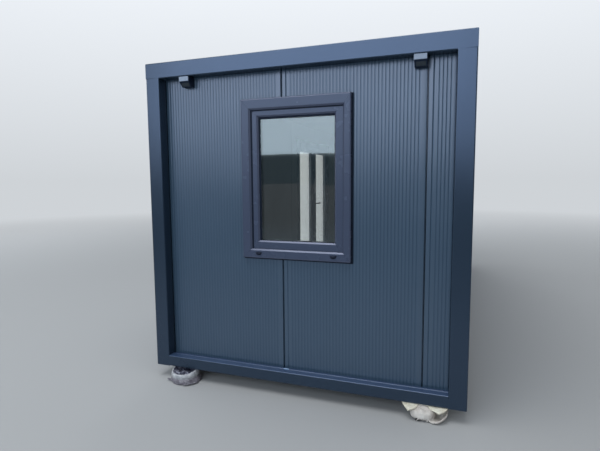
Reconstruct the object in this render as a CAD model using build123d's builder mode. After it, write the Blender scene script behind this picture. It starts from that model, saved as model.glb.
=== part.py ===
import os

from build123d import *

# Office container: a welded steel frame with ribbed sandwich panels between its members, one
# window in the short front wall and a double glazed door in the long left wall. All sizes are in
# millimetres. The origin is on the ground under the middle of the plan, +Z is up and the front
# wall faces -Y. Heights called levels are counted from the ground.

# Overall frame
width = 2438.0
length = 6058.0
frame_height = 2438.0
pad_height = 100.0

# Frame members, folded from steel strip
post_face = 120.0
roof_rail_height = 120.0
bottom_rail_height = 80.0
steel_wall = 4.0
steel_radius = 8.0

# Sandwich wall panels
panel_recess_depth = 90.0
panel_thickness = 60.0
panel_cover = 1030.0
panel_joint_gap = 4.0
front_joint_from_middle = 108.0
rib_pitch = 24.5
rib_edge_flat = 36.0
rib_groove_width = 9.0
rib_groove_depth = 1.5

# Folded flashing over the bottom rail along the foot of each wall
flashing_reach = 80.0
flashing_upstand = 9.0
flashing_thickness = 3.0

# Roof, ceiling and floor
roof_tray_depth = 30.0
roof_tray_lap = 10.0
roof_sheet_thickness = 3.0
roof_seam_width = 12.0
roof_sheet_cover = 980.0
ceiling_thickness = 10.0
floor_deck_thickness = 22.0
floor_beam_pitch = 560.0
floor_beam_flange = 40.0

# Window, a plastic frame with one sash, centred on the front wall
window_width = 855.0
window_height = 1187.0
window_head_drop = 194.0
window_stand = 30.0
window_lap = 15.0
window_fitting_gap = 5.0
window_frame_face = 70.0
window_lip = 18.0
window_rebate = 12.0
window_outer_bevel = 3.0
window_inner_bevel = 10.0
sash_gap = 2.0
sash_face = 63.0
sash_depth = 65.0
sash_glass_front = 20.0
sash_bevel = 8.0
glass_thickness = 24.0
glass_bite = 8.0
glass_edge_gap = 2.0
drain_cap_width = 30.0
drain_cap_height = 9.0
drain_cap_stand = 5.0
drain_cap_slope = 3.0
drain_cap_inset = 133.0

# Power inlets below the front roof rail
inlet_width = 84.0
inlet_height = 74.0
inlet_plate_height = 40.0
inlet_front_gap = 4.0
inlet_step = 8.0
inlet_slope = 30.0
inlet_inset = 342.0

# Double door in the left wall
door_from_front = 3860.0
door_width = 1640.0
door_head_drop = 218.0
door_frame_face = 60.0
door_frame_stand = 10.0
door_threshold_height = 20.0
door_stop_thickness = 5.0
door_stop_cover = 14.0
door_gap = 6.0
door_meeting_gap = 10.0
leaf_thickness = 60.0
leaf_stile_width = 90.0
leaf_bottom_rail_height = 180.0
leaf_glass_front = 18.0

# Door furniture
hinge_radius = 9.0
hinge_clearance = 5.0
hinge_knuckle = 45.0
hinge_knuckle_gap = 1.0
hinge_pin_radius = 5.0
hinge_pin_clearance = 0.3
hinge_plate_width = 34.0
hinge_plate_thickness = 5.0
hinge_end_distance = 220.0
hinges_per_leaf = 2
lever_level = 1040.0
lever_radius = 9.0
lever_clearance = 0.5
lever_reach = 52.0
lever_length = 130.0
lever_grip_height = 20.0
lever_grip_thickness = 14.0
lever_grip_radius = 9.5
lock_plate_width = 36.0
lock_plate_height = 220.0
lock_plate_thickness = 5.0
lock_plate_drop = 60.0
lock_plate_corner = 8.0

# Foot pads: a round wrapped one at the left and a soft block at the right of each end
round_pad_radius = 125.0
round_pad_inset = 280.0
round_pad_forward = 105.0
block_pad_width = 285.0
block_pad_length = 240.0
block_pad_inset = 265.0
block_pad_forward = 40.0
block_pad_corner = 30.0
round_pad_sides = 32

# Levels and depths that follow from the sizes above
wall_depth = panel_recess_depth + panel_thickness
wall_foot = pad_height + bottom_rail_height
wall_head = pad_height + frame_height - roof_rail_height
frame_top = pad_height + frame_height
floor_level = wall_foot + floor_deck_thickness

# Each wall face as a plane: x to the right seen from outside, y up, z outwards
front_face = Plane(origin=(0, -length / 2, 0), x_dir=(1, 0, 0), z_dir=(0, -1, 0))
back_face = Plane(origin=(0, length / 2, 0), x_dir=(-1, 0, 0), z_dir=(0, 1, 0))
left_face = Plane(origin=(-width / 2, 0, 0), x_dir=(0, -1, 0), z_dir=(-1, 0, 0))
right_face = Plane(origin=(width / 2, 0, 0), x_dir=(0, 1, 0), z_dir=(1, 0, 0))

os.makedirs("parts", exist_ok=True)


def write(piece, label):
    piece.part.label = label
    export_step(piece.part, f"parts/{label}.step")


def across(face, start):
    """Plane across a member of a wall: x inwards, y up, z along the wall."""
    return Plane(
        origin=face.from_local_coords((start, 0, 0)), x_dir=-face.z_dir, z_dir=face.x_dir
    )


def plan_of(face, level):
    """Level plane of a wall: x along the wall, y inwards, z up."""
    return Plane(origin=face.origin + Vector(0, 0, level), x_dir=face.x_dir, z_dir=(0, 0, 1))


def channel(height, depth):
    """Section of a folded channel, open inwards, with its lower outer corner at the origin."""
    with BuildSketch() as section:
        with Locations((depth / 2, height / 2)):
            Rectangle(depth, height)
        with Locations((steel_wall + depth / 2, height / 2)):
            Rectangle(depth, height - 2 * steel_wall, mode=Mode.SUBTRACT)
        fillet(section.vertices().group_by(Axis.X)[0], steel_radius)
    return section.sketch


def corner_post(face, side):
    """Square folded tube, flush with both walls that meet at the corner."""
    middle = side * (width - post_face) / 2
    with BuildPart() as post:
        with BuildSketch(plan_of(face, pad_height)):
            with Locations((middle, wall_depth / 2)):
                RectangleRounded(post_face, wall_depth, steel_radius)
                Rectangle(
                    post_face - 2 * steel_wall, wall_depth - 2 * steel_wall, mode=Mode.SUBTRACT
                )
        extrude(amount=wall_head - pad_height)
    return post


def roof_rail(face, run):
    """Channel of the roof ring, mitred at both ends into its neighbours."""
    with BuildPart() as rail:
        with BuildSketch(across(face, -run / 2)):
            with Locations((0, wall_head)):
                add(channel(roof_rail_height, wall_depth))
        extrude(amount=run)
        with BuildSketch(plan_of(face, wall_head)):
            with BuildLine():
                Polyline(
                    (-run / 2, 0),
                    (run / 2, 0),
                    (run / 2 - wall_depth, wall_depth),
                    (wall_depth - run / 2, wall_depth),
                    close=True,
                )
            make_face()
        extrude(amount=roof_rail_height, mode=Mode.INTERSECT)
    return rail


def bottom_rail(face, run):
    """Channel between the feet of two corner posts."""
    with BuildPart() as rail:
        with BuildSketch(across(face, -run / 2)):
            with Locations((0, pad_height)):
                add(channel(bottom_rail_height, wall_depth))
        extrude(amount=run)
    return rail


def panel_outline(start, cover, low, high):
    """Plan of one ribbed panel whose joint is at start, cut to the stretch from low to high."""
    near = max(low, start + panel_joint_gap / 2)
    far = min(high, start + cover - panel_joint_gap / 2)
    outline = [(near, wall_depth), (near, panel_recess_depth)]
    groove = start + rib_edge_flat
    last_groove = start + cover - rib_edge_flat
    step = rib_edge_flat
    while groove < last_groove:
        if near + rib_groove_width < groove < far - rib_groove_width:
            outline.append((groove - rib_groove_width / 2, panel_recess_depth))
            outline.append((groove, panel_recess_depth + rib_groove_depth))
            outline.append((groove + rib_groove_width / 2, panel_recess_depth))
        groove += step
        step = rib_pitch
    outline += [(far, panel_recess_depth), (far, wall_depth)]
    return outline


def wall_panels(
    face, first_joint, low, high, foot=wall_foot, head=wall_head, cover=panel_cover
):
    """Row of upright panels from low to high along a wall, one solid a panel."""
    with BuildPart() as row:
        start = first_joint
        while start < high - panel_joint_gap:
            if start + cover > low + panel_joint_gap:
                with BuildSketch(plan_of(face, foot)):
                    with BuildLine():
                        Polyline(*panel_outline(start, cover, low, high), close=True)
                    make_face()
                extrude(amount=head - foot)
            start += cover
    return row


def flashing(face, low, high):
    """Folded angle on the bottom rail at the foot of a wall, from low to high."""
    with BuildPart() as angle:
        with BuildSketch(across(face, low)):
            with BuildLine():
                Polyline(
                    (panel_recess_depth, wall_foot),
                    (panel_recess_depth - flashing_reach, wall_foot),
                    (panel_recess_depth - flashing_reach, wall_foot + flashing_thickness),
                    (panel_recess_depth - flashing_thickness, wall_foot + flashing_thickness),
                    (panel_recess_depth - flashing_thickness, wall_foot + flashing_upstand),
                    (panel_recess_depth, wall_foot + flashing_upstand),
                    close=True,
                )
            make_face()
        extrude(amount=high - low)
    return angle


# Steel frame
for end_name, end_face in (("front", front_face), ("back", back_face)):
    mirrored = 1 if end_name == "front" else -1
    write(corner_post(end_face, -mirrored), f"corner_post_{end_name}_left")
    write(corner_post(end_face, mirrored), f"corner_post_{end_name}_right")
    write(roof_rail(end_face, width), f"roof_rail_{end_name}")
    write(bottom_rail(end_face, width - 2 * post_face), f"bottom_rail_{end_name}")
for side_name, side_face in (("left", left_face), ("right", right_face)):
    write(roof_rail(side_face, length), f"roof_rail_{side_name}")
    write(bottom_rail(side_face, length - 2 * wall_depth), f"bottom_rail_{side_name}")

# Roof: a shallow steel tray hung inside the roof ring, with folded seams across it
roof_top = frame_top - steel_wall
roof_width = width - 2 * (wall_depth - roof_tray_lap)
roof_length = length - 2 * (wall_depth - roof_tray_lap)
seam_count = int(roof_length // roof_sheet_cover)
with BuildPart() as roof_sheet:
    with BuildSketch(Plane.XY.offset(roof_top - roof_tray_depth)):
        Rectangle(roof_width, roof_length)
    extrude(amount=roof_tray_depth)
    with BuildSketch(Plane.XY.offset(roof_top - roof_tray_depth + roof_sheet_thickness)):
        Rectangle(roof_width - 2 * roof_sheet_thickness, roof_length - 2 * roof_sheet_thickness)
    extrude(amount=roof_tray_depth, mode=Mode.SUBTRACT)
    with BuildSketch(Plane.XY.offset(roof_top - roof_tray_depth)):
        with GridLocations(0, roof_length / (seam_count + 1), 1, seam_count):
            Rectangle(roof_width, roof_seam_width)
    extrude(amount=roof_tray_depth - steel_wall)
write(roof_sheet, "roof_sheet")

# Ceiling between the flanges of the roof ring
with BuildPart() as ceiling_panel:
    with BuildSketch(Plane.XY.offset(wall_head)):
        Rectangle(width - 2 * wall_depth, length - 2 * wall_depth)
    extrude(amount=ceiling_thickness)
write(ceiling_panel, "ceiling_panel")

# Floor: channels across between the bottom rails, and a board deck on top of them
beam_run = length - 2 * wall_depth
beam_count = int(beam_run // floor_beam_pitch)
beam_middle = pad_height + bottom_rail_height / 2
with BuildPart() as floor_beams:
    with BuildSketch(across(front_face, wall_depth - width / 2)):
        with Locations((length / 2, beam_middle)):
            with GridLocations(beam_run / beam_count, 0, beam_count, 1):
                Rectangle(floor_beam_flange, bottom_rail_height)
        with Locations((length / 2 + steel_wall, beam_middle)):
            with GridLocations(beam_run / beam_count, 0, beam_count, 1):
                Rectangle(
                    floor_beam_flange, bottom_rail_height - 2 * steel_wall, mode=Mode.SUBTRACT
                )
    extrude(amount=width - 2 * wall_depth)
write(floor_beams, "floor_beams")
with BuildPart() as floor_deck:
    with BuildSketch(Plane.XY.offset(wall_foot)):
        Rectangle(width - 2 * wall_depth, length - 2 * wall_depth)
    extrude(amount=floor_deck_thickness)
write(floor_deck, "floor_deck")

# Front wall: three panels, two of them cut round the window
front_low = post_face - width / 2
front_high = width / 2 - post_face
front_joint = -front_joint_from_middle
left_cover = max(panel_cover, front_joint - front_low)
window_head = wall_head - window_head_drop
window_middle = window_head - window_height / 2
right_joint = front_joint + panel_cover
front_rows = (
    ("front_panel_left", front_joint - left_cover, left_cover, front_low, front_joint),
    ("front_panel_middle", front_joint, panel_cover, front_joint, right_joint),
    ("front_panel_right", right_joint, panel_cover, right_joint, front_high),
)
for panel_name, own_joint, own_cover, panel_low, panel_high in front_rows:
    plain_panel = wall_panels(front_face, own_joint, panel_low, panel_high, cover=own_cover)
    with BuildPart() as front_panel:
        add(plain_panel.part)
        with BuildSketch(front_face.offset(-panel_recess_depth)):
            with Locations((0, window_middle)):
                Rectangle(window_width - 2 * window_lap, window_height - 2 * window_lap)
        extrude(amount=-panel_thickness, mode=Mode.SUBTRACT)
    write(front_panel, panel_name)

# Back and right walls, plain rows of the same panels
side_low = wall_depth - length / 2
side_high = length / 2 - wall_depth
write(wall_panels(back_face, front_low, front_low, front_high), "back_panels")
write(wall_panels(right_face, side_low, side_low, side_high), "right_panels")

# Left wall, split beside and over the doorway
door_middle = length / 2 - door_from_front
door_low = door_middle - door_width / 2
door_high = door_middle + door_width / 2
door_head = wall_head - door_head_drop
door_height = door_head - wall_foot
write(wall_panels(left_face, side_low, side_low, door_low), "left_panels_back")
write(wall_panels(left_face, side_low, door_high, side_high), "left_panels_front")
write(
    wall_panels(left_face, side_low, door_low, door_high, door_head), "left_panels_over_door"
)

# Flashings along the foot of the walls
with BuildPart() as wall_foot_flashings:
    add(flashing(front_face, front_low, front_high).part)
    add(flashing(back_face, front_low, front_high).part)
    add(flashing(right_face, side_low, side_high).part)
    add(flashing(left_face, side_low, door_low).part)
    add(flashing(left_face, door_high, side_high).part)
write(wall_foot_flashings, "wall_foot_flashings")

# Window frame: it laps over the cut in the panels and holds the sash behind its lip
window_front = panel_recess_depth - window_stand
frame_opening_width = window_width - 2 * window_frame_face
frame_opening_height = window_height - 2 * window_frame_face
with BuildPart() as window_frame:
    with BuildSketch(front_face.offset(-window_front)):
        with Locations((0, window_middle)):
            Rectangle(window_width, window_height)
    extrude(amount=-window_stand)
    with BuildSketch(front_face.offset(-panel_recess_depth)):
        with Locations((0, window_middle)):
            Rectangle(
                window_width - 2 * window_lap - 2 * window_fitting_gap,
                window_height - 2 * window_lap - 2 * window_fitting_gap,
            )
    extrude(amount=-panel_thickness)
    with BuildSketch(front_face.offset(-window_front)):
        with Locations((0, window_middle)):
            Rectangle(frame_opening_width, frame_opening_height)
    extrude(amount=-window_stand - panel_thickness, mode=Mode.SUBTRACT)
    window_outside = window_frame.faces().sort_by(Axis(front_face.origin, front_face.z_dir))[-1]
    chamfer(window_outside.outer_wire().edges(), window_outer_bevel)
    window_outside = window_frame.faces().sort_by(Axis(front_face.origin, front_face.z_dir))[-1]
    chamfer(window_outside.inner_wires()[0].edges(), window_inner_bevel)
    with BuildSketch(front_face.offset(-window_front - window_lip)):
        with Locations((0, window_middle)):
            Rectangle(
                frame_opening_width + 2 * window_rebate,
                frame_opening_height + 2 * window_rebate,
            )
    extrude(amount=window_lip - window_stand - panel_thickness, mode=Mode.SUBTRACT)
write(window_frame, "window_frame")


def glazed_leaf(face, centre, outer, stiles, front_depth, thickness, glass_front):
    """Leaf with one pane: a ring whose inner edge has a groove that holds the glass.

    stiles holds the widths at the sides, at the top and at the bottom.
    """
    side_face, top_face, bottom_face = stiles
    pane_width = outer[0] - 2 * side_face
    pane_height = outer[1] - top_face - bottom_face
    pane_centre = (centre[0], centre[1] + (bottom_face - top_face) / 2)
    with BuildPart() as leaf:
        with BuildSketch(face.offset(-front_depth)):
            with Locations(centre):
                Rectangle(*outer)
            with Locations(pane_centre):
                Rectangle(pane_width, pane_height, mode=Mode.SUBTRACT)
        extrude(amount=-thickness)
        outer_side = leaf.faces().sort_by(Axis(face.origin, face.z_dir))[-1]
        chamfer(outer_side.inner_wires()[0].edges(), sash_bevel)
        with BuildSketch(face.offset(-front_depth - glass_front)):
            with Locations(pane_centre):
                Rectangle(
                    pane_width + 2 * glass_bite + 2 * glass_edge_gap,
                    pane_height + 2 * glass_bite + 2 * glass_edge_gap,
                )
        extrude(amount=-glass_thickness, mode=Mode.SUBTRACT)
    with BuildPart() as glass:
        with BuildSketch(face.offset(-front_depth - glass_front)):
            with Locations(pane_centre):
                Rectangle(pane_width + 2 * glass_bite, pane_height + 2 * glass_bite)
        extrude(amount=-glass_thickness)
    return leaf, glass


# Window sash, held behind the lip of the window frame
sash_cover = window_rebate - sash_gap
window_sash, window_glass = glazed_leaf(
    front_face,
    (0, window_middle),
    (frame_opening_width + 2 * sash_cover, frame_opening_height + 2 * sash_cover),
    (sash_face + sash_cover, sash_face + sash_cover, sash_face + sash_cover),
    window_front + window_lip,
    sash_depth,
    sash_glass_front,
)
write(window_sash, "window_sash")
write(window_glass, "window_glass")

# Hooded caps over the two drain slots in the lower bar of the window frame
drain_foot = window_head - window_height + (window_frame_face - drain_cap_height) / 2
with BuildPart() as window_drain_caps:
    for cap_side in (-1, 1):
        cap_start = cap_side * (window_width / 2 - drain_cap_inset) - drain_cap_width / 2
        with BuildSketch(across(front_face, cap_start)):
            with BuildLine():
                Polyline(
                    (window_front, drain_foot),
                    (window_front - drain_cap_stand, drain_foot),
                    (window_front - drain_cap_stand + drain_cap_slope, drain_foot + drain_cap_height),
                    (window_front, drain_foot + drain_cap_height),
                    close=True,
                )
            make_face()
        extrude(amount=drain_cap_width)
write(window_drain_caps, "window_drain_caps")


def power_inlet(side):
    """Boxed inlet under the front roof rail, its lower part cut back towards the wall."""
    left_side = side * (width / 2 - inlet_inset) - inlet_width / 2
    plate_foot = wall_head - inlet_plate_height
    with BuildPart() as inlet:
        with BuildSketch(across(front_face, left_side)):
            with BuildLine():
                Polyline(
                    (inlet_front_gap, wall_head),
                    (inlet_front_gap, plate_foot),
                    (inlet_front_gap + inlet_step, plate_foot),
                    (inlet_front_gap + inlet_step + inlet_slope, wall_head - inlet_height),
                    (panel_recess_depth, wall_head - inlet_height),
                    (panel_recess_depth, wall_head),
                    close=True,
                )
            make_face()
        extrude(amount=inlet_width)
    return inlet


write(power_inlet(-1), "power_inlet_left")
write(power_inlet(1), "power_inlet_right")

# Door frame of two jambs and a head with an inner stop all round, and the sill between the jambs
door_front = panel_recess_depth - door_frame_stand
door_opening = door_width - 2 * door_frame_face
stop_foot = wall_foot + door_threshold_height
stop_head = door_head - door_frame_face
with BuildPart() as door_frame:
    with BuildSketch(left_face.offset(-door_front)):
        with Locations((door_middle, wall_foot + door_height / 2)):
            Rectangle(door_width, door_height)
        with Locations((door_middle, wall_foot + (door_height - door_frame_face) / 2)):
            Rectangle(door_opening, door_height - door_frame_face, mode=Mode.SUBTRACT)
    extrude(amount=door_front - wall_depth)
    with BuildSketch(left_face.offset(door_stop_thickness - wall_depth)):
        with Locations((door_middle, (stop_foot + stop_head) / 2)):
            Rectangle(door_opening, stop_head - stop_foot)
        with Locations((door_middle, (stop_foot + stop_head - door_stop_cover) / 2)):
            Rectangle(
                door_opening - 2 * door_stop_cover,
                stop_head - stop_foot - door_stop_cover,
                mode=Mode.SUBTRACT,
            )
    extrude(amount=-door_stop_thickness)
write(door_frame, "door_frame")
with BuildPart() as door_threshold:
    with BuildSketch(left_face.offset(-door_front)):
        with Locations((door_middle, wall_foot + door_threshold_height / 2)):
            Rectangle(door_opening, door_threshold_height)
    extrude(amount=door_front - wall_depth)
write(door_threshold, "door_threshold")

# Door leaves, which meet in the middle of the doorway. The back one carries the lever.
leaf_width = (door_opening - 2 * door_gap - door_meeting_gap) / 2
leaf_foot = wall_foot + door_threshold_height + door_gap
leaf_head = door_head - door_frame_face - door_gap
leaf_offset = (leaf_width + door_meeting_gap) / 2
lock_place = door_middle - door_meeting_gap / 2 - leaf_stile_width / 2
lever_height = floor_level + lever_level
leaves = {}
for leaf_name, leaf_side in (("front", 1), ("back", -1)):
    leaves[leaf_name] = glazed_leaf(
        left_face,
        (door_middle + leaf_side * leaf_offset, (leaf_foot + leaf_head) / 2),
        (leaf_width, leaf_head - leaf_foot),
        (leaf_stile_width, leaf_stile_width, leaf_bottom_rail_height),
        door_front,
        leaf_thickness,
        leaf_glass_front,
    )
    write(leaves[leaf_name][1], f"door_glass_{leaf_name}")
with BuildPart() as bored_leaf:
    add(leaves["back"][0].part)
    with BuildSketch(left_face.offset(-door_front)):
        with Locations((lock_place, lever_height)):
            Circle(lever_radius + lever_clearance)
    extrude(amount=-leaf_thickness, mode=Mode.SUBTRACT)
write(leaves["front"][0], "door_leaf_front")
write(bored_leaf, "door_leaf_back")

# Lock plates on both sides of the back leaf
with BuildPart() as door_lock_plates:
    for plate_depth in (door_front - lock_plate_thickness, door_front + leaf_thickness):
        with BuildSketch(left_face.offset(-plate_depth)):
            with Locations((lock_place, lever_height - lock_plate_drop)):
                plate_outline = Rectangle(lock_plate_width, lock_plate_height)
            chamfer(plate_outline.vertices(), lock_plate_corner)
            with Locations((lock_place, lever_height)):
                Circle(lever_radius + lever_clearance, mode=Mode.SUBTRACT)
        extrude(amount=-lock_plate_thickness)
write(door_lock_plates, "door_lock_plates")

# Door lever: one spindle through the leaf with a grip at each end
grip_middle = lock_place - lever_length / 2 + lever_grip_height / 2
with BuildPart() as door_lever:
    with BuildSketch(left_face.offset(-door_front + lever_reach)):
        with Locations((lock_place, lever_height)):
            Circle(lever_radius)
    extrude(amount=-2 * lever_reach - leaf_thickness)
    for grip_depth in (
        door_front - lever_reach,
        door_front + leaf_thickness + lever_reach - lever_grip_thickness,
    ):
        with BuildSketch(left_face.offset(-grip_depth)):
            with Locations((grip_middle, lever_height)):
                RectangleRounded(lever_length, lever_grip_height, lever_grip_radius)
        extrude(amount=-lever_grip_thickness)
write(door_lever, "door_lever")


# Hinges: the lower knuckle with its pin is on the frame, the upper one turns with the leaf
hinge_depth = door_front - hinge_radius - hinge_clearance
hinge_levels = [
    leaf_foot
    + hinge_end_distance
    + step * (leaf_head - leaf_foot - 2 * hinge_end_distance) / (hinges_per_leaf - 1)
    for step in range(hinges_per_leaf)
]


def knuckle(side, level, plate_way, pin_bore):
    """Knuckle with its cranked plate, on the frame or on the leaf."""
    hinge_u = door_middle + side * (door_opening / 2 - door_gap / 2)
    plate_middle = hinge_u + plate_way * (door_gap / 2 + hinge_plate_width / 2)
    web_middle = hinge_u + plate_way * (door_gap / 2 + hinge_radius / 2)
    with BuildPart() as barrel:
        with BuildSketch(plan_of(left_face, level)):
            with Locations((hinge_u, hinge_depth)):
                Circle(hinge_radius)
            with Locations((web_middle, (hinge_depth + door_front) / 2)):
                Rectangle(hinge_radius, door_front - hinge_depth)
            with Locations(((hinge_u + web_middle) / 2, hinge_depth)):
                Rectangle(abs(web_middle - hinge_u) + hinge_radius, hinge_radius)
            with Locations((plate_middle, door_front - hinge_plate_thickness / 2)):
                Rectangle(hinge_plate_width, hinge_plate_thickness)
            if pin_bore:
                with Locations((hinge_u, hinge_depth)):
                    Circle(hinge_pin_radius + hinge_pin_clearance, mode=Mode.SUBTRACT)
        extrude(amount=hinge_knuckle)
        if not pin_bore:
            with BuildSketch(plan_of(left_face, level + hinge_knuckle)):
                with Locations((hinge_u, hinge_depth)):
                    Circle(hinge_pin_radius)
            extrude(amount=hinge_knuckle + hinge_knuckle_gap)
    return barrel


with BuildPart() as hinge_knuckles_frame:
    for hinge_side in (1, -1):
        for hinge_level in hinge_levels:
            add(knuckle(hinge_side, hinge_level, hinge_side, False).part)
write(hinge_knuckles_frame, "hinge_knuckles_frame")
for leaf_name, leaf_side in (("front", 1), ("back", -1)):
    with BuildPart() as hinge_knuckles_leaf:
        for hinge_level in hinge_levels:
            upper_level = hinge_level + hinge_knuckle + hinge_knuckle_gap
            add(knuckle(leaf_side, upper_level, -leaf_side, True).part)
    write(hinge_knuckles_leaf, f"hinge_knuckles_{leaf_name}_leaf")

# Foot pads on which the frame stands, soft pieces drawn as plain closed solids
for end_name, end_face in (("front", front_face), ("back", back_face)):
    mirrored = 1 if end_name == "front" else -1
    round_u = -mirrored * (width / 2 - round_pad_inset)
    with BuildPart() as round_pad:
        with BuildSketch(plan_of(end_face, 0)):
            with Locations((round_u, round_pad_radius - round_pad_forward)):
                RegularPolygon(round_pad_radius, round_pad_sides)
        extrude(amount=pad_height)
    write(round_pad, f"foot_pad_{end_name}_left")
    block_u = mirrored * (width / 2 - block_pad_inset)
    with BuildPart() as block_pad:
        with BuildSketch(plan_of(end_face, 0)):
            with Locations((block_u, block_pad_length / 2 - block_pad_forward)):
                block_outline = Rectangle(block_pad_width, block_pad_length)
            chamfer(block_outline.vertices(), block_pad_corner)
        extrude(amount=pad_height)
    write(block_pad, f"foot_pad_{end_name}_right")
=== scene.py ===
import math

import bmesh
import bpy
from mathutils import Matrix, Vector, noise


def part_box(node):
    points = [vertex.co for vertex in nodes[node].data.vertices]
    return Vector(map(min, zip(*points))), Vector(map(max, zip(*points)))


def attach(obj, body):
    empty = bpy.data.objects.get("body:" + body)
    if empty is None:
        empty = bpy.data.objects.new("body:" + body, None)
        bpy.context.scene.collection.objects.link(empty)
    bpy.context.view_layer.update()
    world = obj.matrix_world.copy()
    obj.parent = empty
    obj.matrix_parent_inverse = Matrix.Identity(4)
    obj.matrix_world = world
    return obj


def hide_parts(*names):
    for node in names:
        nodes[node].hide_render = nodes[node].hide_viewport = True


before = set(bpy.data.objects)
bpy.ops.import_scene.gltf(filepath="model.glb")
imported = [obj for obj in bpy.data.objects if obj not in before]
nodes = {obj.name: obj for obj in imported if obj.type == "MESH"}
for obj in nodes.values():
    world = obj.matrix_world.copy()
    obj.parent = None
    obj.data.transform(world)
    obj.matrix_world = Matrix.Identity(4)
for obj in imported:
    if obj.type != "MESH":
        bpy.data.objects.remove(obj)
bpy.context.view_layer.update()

scene = bpy.context.scene

# Camera
# A hand-held view from just right of the middle of the front wall, at eye height, turned a
# little to the left and down.
camera_data = bpy.data.cameras.new("camera")
camera_data.lens = 27.165
camera_data.sensor_width = 36.0
camera_data.clip_start = 0.05
camera = bpy.data.objects.new("camera", camera_data)
scene.collection.objects.link(camera)
camera_turn = math.radians(19.746)
camera_tip = math.radians(90.0 - 5.867)
camera_roll = math.radians(-0.423)
camera.matrix_world = (
    Matrix.Translation((1.1516, -6.0674, 1.6330))
    @ Matrix.Rotation(camera_turn, 4, "Z")
    @ Matrix.Rotation(camera_tip, 4, "X")
    @ Matrix.Rotation(camera_roll, 4, "Z")
)
scene.camera = camera


# Film-wrapped foot pads
# A squat round pad wrapped in grey film stands under the left corner of each end. Its rim
# carries the rail, its top is a hollow of gathered film, and loose ears of film lie on the ground.
def new_material(name):
    material = bpy.data.materials.new(name)
    material.use_nodes = True
    tree = material.node_tree
    return material, tree, tree.nodes["Principled BSDF"]


def build_grain_group():
    """Cloudy, speckled, fine and slow wavy noise, from the place on the piece."""
    group = bpy.data.node_groups.new("surface_grain", "ShaderNodeTree")
    face = group.interface
    for label in ("Cloud", "Speck", "Fine", "Wave"):
        face.new_socket(label + " Scale", in_out="INPUT", socket_type="NodeSocketFloat")
        face.new_socket(label, in_out="OUTPUT", socket_type="NodeSocketFloat")
    entry = group.nodes.new("NodeGroupInput")
    leave = group.nodes.new("NodeGroupOutput")
    place = group.nodes.new("ShaderNodeTexCoord")
    for label, detail, rough in (
        ("Cloud", 4.0, 0.55), ("Speck", 3.0, 0.6), ("Fine", 2.0, 0.5), ("Wave", 0.0, 0.5),
    ):
        texture = group.nodes.new("ShaderNodeTexNoise")
        texture.inputs["Detail"].default_value = detail
        texture.inputs["Roughness"].default_value = rough
        group.links.new(place.outputs["Object"], texture.inputs["Vector"])
        group.links.new(entry.outputs[label + " Scale"], texture.inputs["Scale"])
        group.links.new(texture.outputs["Fac"], leave.inputs[label])
    return group


surface_grain = build_grain_group()


def add_grain(tree, cloud, speck, fine, wave=2.2):
    """The noise group in a material, with its own number of grains to the metre."""
    node = tree.nodes.new("ShaderNodeGroup")
    node.node_tree = surface_grain
    for label, value in (("Cloud", cloud), ("Speck", speck), ("Fine", fine), ("Wave", wave)):
        node.inputs[label + " Scale"].default_value = value
    return node


def colour_between(tree, factor, first, second, low=0.35, high=0.65):
    """Colour that goes from first to second as the factor goes from low to high."""
    ramp = tree.nodes.new("ShaderNodeValToRGB")
    ramp.color_ramp.elements[0].position = low
    ramp.color_ramp.elements[0].color = (*first, 1.0)
    ramp.color_ramp.elements[1].position = high
    ramp.color_ramp.elements[1].color = (*second, 1.0)
    tree.links.new(factor, ramp.inputs["Fac"])
    return ramp.outputs["Color"]


def value_between(tree, factor, first, second, low=0.35, high=0.65):
    """Value that goes from first to second as the factor goes from low to high."""
    spread = tree.nodes.new("ShaderNodeMapRange")
    spread.inputs["From Min"].default_value = low
    spread.inputs["From Max"].default_value = high
    spread.inputs["To Min"].default_value = first
    spread.inputs["To Max"].default_value = second
    tree.links.new(factor, spread.inputs["Value"])
    return spread.outputs["Result"]


def add_bump(tree, shader, height, distance, under=None):
    """Bump on the shader's normal, over another bump where one is given."""
    bump = tree.nodes.new("ShaderNodeBump")
    bump.inputs["Distance"].default_value = distance
    tree.links.new(height, bump.inputs["Height"])
    if under is not None:
        tree.links.new(under.outputs["Normal"], bump.inputs["Normal"])
    tree.links.new(bump.outputs["Normal"], shader.inputs["Normal"])
    return bump


def grained_coat(
    name, scales, tones, rough, bump=None, turn=(0.35, 0.65), metal=0.0, level=0.5, cast=(1, 1, 1)
):
    """Material whose colour drifts from dark to light with one noise of the grain.

    The tones are that noise and two colours, which meet between the two values of turn. The
    roughness is a number, or a noise and two values. The bump is a noise and its height.
    """
    material, tree, shader = new_material(name)
    grain = add_grain(tree, *scales)
    label, dark, light = tones
    tree.links.new(
        colour_between(tree, grain.outputs[label], dark, light, *turn), shader.inputs["Base Color"]
    )
    if isinstance(rough, tuple):
        label, low, high = rough
        tree.links.new(
            value_between(tree, grain.outputs[label], low, high), shader.inputs["Roughness"]
        )
    else:
        shader.inputs["Roughness"].default_value = rough
    shader.inputs["Metallic"].default_value = metal
    shader.inputs["Specular IOR Level"].default_value = level
    shader.inputs["Specular Tint"].default_value = (*cast, 1.0)
    if bump is not None:
        label, height = bump
        add_bump(tree, shader, grain.outputs[label], height)
    return material


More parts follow.
